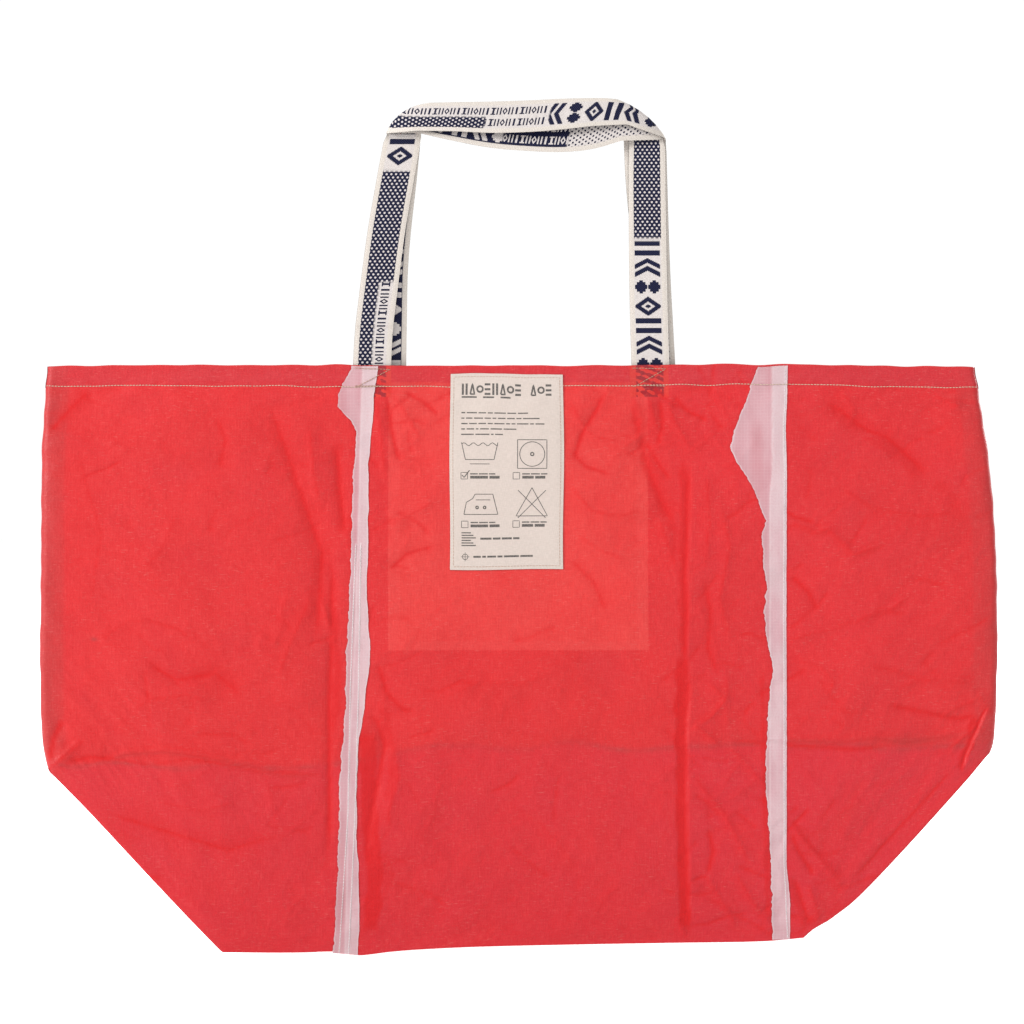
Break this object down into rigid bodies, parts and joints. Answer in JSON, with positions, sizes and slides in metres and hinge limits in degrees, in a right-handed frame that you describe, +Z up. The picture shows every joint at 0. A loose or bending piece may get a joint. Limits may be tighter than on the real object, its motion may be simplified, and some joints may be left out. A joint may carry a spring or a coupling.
{
  "type": "foldable tote bag",
  "caption": "Gusseted tote of thin red ripstop cloth lying folded flat, with a woven patterned handle on each face, a sewn cotton care label and pale seam strips; base and sides open into a box",
  "frame": {"origin": "centre of the shut bag in X and Y, at the level of its bottom fold", "axes": "+X is to the right seen from the front, -Y is the way the front face looks, +Z is up from the bottom fold to the handles"},
  "size_m": [0.755, 0.0118, 0.677],
  "materials": {
    "ripstop": "thin coated ripstop cloth, satin, wrinkled",
    "webbing": "woven jacquard webbing, navy on cream with cream selvages",
    "label_cotton": "cream cotton tape",
    "seam_strip": "pale translucent cut cloth with frayed edges",
    "thread": "tan polyester sewing thread"
  },
  "bodies": {
    "back": {"back_panel": "ripstop", "back_hem": "ripstop", "back_hem_stitching": "thread", "back_strap_end_left": "webbing", "back_strap_end_right": "webbing"},
    "base_rear": {"base_back_half": "ripstop"},
    "base_forward": {"base_front_half": "ripstop"},
    "front": {"front_panel": "ripstop", "front_hem": "ripstop", "front_hem_stitching": "thread", "front_strap_end_left": "webbing", "front_strap_end_right": "webbing", "front_strap_stitching_left": "thread", "front_strap_stitching_right": "thread", "inner_pocket": "ripstop", "inner_pocket_stitching": "thread", "care_label": "label_cotton", "care_label_stitching": "thread", "seam_strip_left": "seam_strip", "seam_strip_right": "seam_strip"},
    "side_back_left_half": {"side_back_left": "ripstop", "side_hem_back_left": "ripstop", "side_seam_left": "ripstop"},
    "corner_back_left": {"corner_flap_back_left": "ripstop"},
    "side_back_right_half": {"side_back_right": "ripstop", "side_hem_back_right": "ripstop", "side_seam_right": "ripstop"},
    "corner_back_right": {"corner_flap_back_right": "ripstop"},
    "side_front_left_half": {"side_front_left": "ripstop", "side_hem_front_left": "ripstop"},
    "corner_front_left": {"corner_flap_front_left": "ripstop"},
    "side_front_right_half": {"side_front_right": "ripstop", "side_hem_front_right": "ripstop"},
    "corner_front_right": {"corner_flap_front_right": "ripstop"},
    "front_handle": {"front_handle_webbing": "webbing"},
    "back_handle": {"back_handle_webbing": "webbing"}
  },
  "joints": [
    {"name": "gusset_unfold", "type": "hinge", "parent": "back", "child": "base_rear", "pos_m": [0, 0.0055, 0.0019], "axis": [1, 0, 0], "range_deg": [0, 90]},
    {"name": "base_crease", "type": "hinge", "parent": "base_rear", "child": "base_forward", "pos_m": [0, 0.0005, 0.1469], "axis": [-1, 0, 0], "range_deg": [0, 180]},
    {"name": "front_base_fold", "type": "hinge", "parent": "base_forward", "child": "front", "pos_m": [0, -0.0045, 0.0019], "axis": [1, 0, 0], "range_deg": [0, 90]},
    {"name": "side_fold_back_left", "type": "hinge", "parent": "back", "child": "side_back_left_half", "pos_m": [-0.233, 0.0055, 0.232], "axis": [0, 0, 1], "range_deg": [0, 90]},
    {"name": "corner_fold_back_left", "type": "hinge", "parent": "side_back_left_half", "child": "corner_back_left", "pos_m": [-0.233, 0.00495, 0.0004], "axis": [0.7071, 0, -0.7071], "range_deg": [0, 180], "deforming": ["corner_flap_back_left"]},
    {"name": "side_fold_back_right", "type": "hinge", "parent": "back", "child": "side_back_right_half", "pos_m": [0.233, 0.0055, 0.232], "axis": [0, 0, -1], "range_deg": [0, 90]},
    {"name": "corner_fold_back_right", "type": "hinge", "parent": "side_back_right_half", "child": "corner_back_right", "pos_m": [0.233, 0.00495, 0.0004], "axis": [0.7071, 0, 0.7071], "range_deg": [0, 180], "deforming": ["corner_flap_back_right"]},
    {"name": "side_fold_front_left", "type": "hinge", "parent": "front", "child": "side_front_left_half", "pos_m": [-0.233, -0.0045, 0.232], "axis": [0, 0, -1], "range_deg": [0, 90]},
    {"name": "corner_fold_front_left", "type": "hinge", "parent": "side_front_left_half", "child": "corner_front_left", "pos_m": [-0.233, -0.00395, 0.0004], "axis": [-0.7071, 0, 0.7071], "range_deg": [0, 180], "deforming": ["corner_flap_front_left"]},
    {"name": "side_fold_front_right", "type": "hinge", "parent": "front", "child": "side_front_right_half", "pos_m": [0.233, -0.0045, 0.232], "axis": [0, 0, 1], "range_deg": [0, 90]},
    {"name": "corner_fold_front_right", "type": "hinge", "parent": "side_front_right_half", "child": "corner_front_right", "pos_m": [0.233, -0.00395, 0.0004], "axis": [-0.7071, 0, -0.7071], "range_deg": [0, 180], "deforming": ["corner_flap_front_right"]},
    {"name": "front_handle_swing", "type": "hinge", "parent": "front", "child": "front_handle", "pos_m": [0, -0.0045, 0.4665], "axis": [1, 0, 0], "range_deg": [0, 170]},
    {"name": "back_handle_swing", "type": "hinge", "parent": "back", "child": "back_handle", "pos_m": [0, 0.0055, 0.4665], "axis": [1, 0, 0], "range_deg": [-170, 0]}
  ],
  "couplings": [
    {"joint": "base_crease", "follows": "gusset_unfold", "ratio": 2},
    {"joint": "front_base_fold", "follows": "gusset_unfold", "ratio": 1},
    {"joint": "side_fold_back_left", "follows": "gusset_unfold", "ratio": 1},
    {"joint": "corner_fold_back_left", "follows": "gusset_unfold", "ratio": 2},
    {"joint": "side_fold_back_right", "follows": "gusset_unfold", "ratio": 1},
    {"joint": "corner_fold_back_right", "follows": "gusset_unfold", "ratio": 2},
    {"joint": "side_fold_front_left", "follows": "gusset_unfold", "ratio": 1},
    {"joint": "corner_fold_front_left", "follows": "gusset_unfold", "ratio": 2},
    {"joint": "side_fold_front_right", "follows": "gusset_unfold", "ratio": 1},
    {"joint": "corner_fold_front_right", "follows": "gusset_unfold", "ratio": 2}
  ]
}
